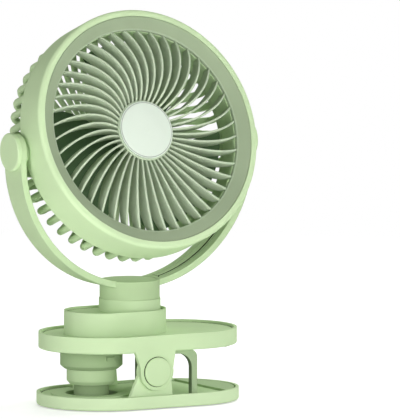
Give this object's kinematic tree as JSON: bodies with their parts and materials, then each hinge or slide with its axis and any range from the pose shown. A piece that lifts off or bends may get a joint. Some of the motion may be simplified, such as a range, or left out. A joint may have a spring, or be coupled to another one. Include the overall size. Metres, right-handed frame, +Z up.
{
  "type": "clip fan",
  "caption": "Rechargeable fan on a spring clip: a round head with swept vanes tilts in a half-ring yoke, which swivels on a raised platform.",
  "frame": {"origin": "where the swivel axis meets the table, at the underside of the foot", "axes": "+Z up along the swivel axis, +X along the clip from the handle to the mouth, -Y the way the head blows"},
  "size_m": [0.2072, 0.114, 0.296],
  "materials": {
    "body_plastic": "fine satin moulded plastic, pale green",
    "yoke_plastic": "fine satin moulded plastic, pale green",
    "grille_plastic": "satin moulded plastic, grey green",
    "cap_plastic": "half-gloss moulded plastic, pale",
    "impeller_plastic": "translucent-looking pale plastic",
    "grip_rubber": "soft matt rubber, green",
    "zinc_steel": "zinc-plated steel",
    "spring_steel": "drawn spring wire",
    "motor_steel": "plated motor can",
    "cell_wrap": "shrink-wrapped battery cell",
    "board": "glass-fibre circuit board"
  },
  "bodies": {
    "base": {"lower_jaw": "body_plastic", "lower_deck": "yoke_plastic", "foot_pad": "grip_rubber", "lower_grip": "grip_rubber", "lower_sleeve": "yoke_plastic", "clip_spring": "spring_steel", "hinge_pin": "zinc_steel", "hinge_spacer": "yoke_plastic", "deck_screws": "zinc_steel"},
    "middle_tube": {"middle_sleeve": "yoke_plastic"},
    "clamp": {"upper_jaw": "body_plastic", "upper_sleeve": "yoke_plastic", "upper_grip": "grip_rubber", "stop_arms": "yoke_plastic", "pin_caps": "body_plastic", "jaw_screws": "zinc_steel", "battery_housing": "body_plastic", "housing_lid": "body_plastic", "battery_cells": "cell_wrap", "control_board": "board", "charge_port": "zinc_steel"},
    "button": {"power_button": "body_plastic"},
    "yoke_arm": {"swivel_nut": "zinc_steel", "neck": "body_plastic", "yoke": "yoke_plastic", "yoke_strips": "yoke_plastic", "neck_cover": "yoke_plastic", "knobs": "body_plastic"},
    "head": {"tilt_washers": "yoke_plastic", "tilt_pins": "zinc_steel", "front_housing": "body_plastic", "front_grille": "grille_plastic", "hub_cap": "cap_plastic", "rear_cage": "yoke_plastic", "rear_cap": "body_plastic", "motor": "motor_steel", "cage_screws": "zinc_steel"},
    "rotor": {"impeller": "impeller_plastic", "motor_shaft": "zinc_steel"}
  },
  "joints": [
    {"name": "clip_hinge", "type": "hinge", "parent": "base", "child": "clamp", "pos_m": [-0.003, 0, 0.0282], "axis": [0, -1, 0], "range_deg": [0, 14], "stiffness_Nm_per_rad": 3, "springref_deg": -20.05, "deforming": ["clip_spring"]},
    {"name": "sleeve_follow", "type": "hinge", "parent": "base", "child": "middle_tube", "pos_m": [-0.003, 0, 0.0282], "axis": [0, -1, 0], "range_deg": [0, 7]},
    {"name": "neck_swivel", "type": "hinge", "parent": "clamp", "child": "yoke_arm", "pos_m": [0, 0, 0.0794], "axis": [0, 0, 1], "range_deg": [-180, 180]},
    {"name": "head_tilt", "type": "hinge", "parent": "yoke_arm", "child": "head", "pos_m": [0, 0, 0.1942], "axis": [-1, 0, 0], "range_deg": [-109.5, 70.5]},
    {"name": "impeller_spin", "type": "hinge", "parent": "head", "child": "rotor", "pos_m": [0, 0.00157, 0.19863], "axis": [0, -0.9426, 0.3338], "continuous": true},
    {"name": "power_press", "type": "slide", "parent": "clamp", "child": "button", "axis": [0, -1, 0], "range_m": [0, 0.001], "stiffness_N_per_m": 800, "springref_m": -0.0002}
  ],
  "couplings": [
    {"joint": "sleeve_follow", "follows": "clip_hinge", "ratio": 0.5}
  ]
}
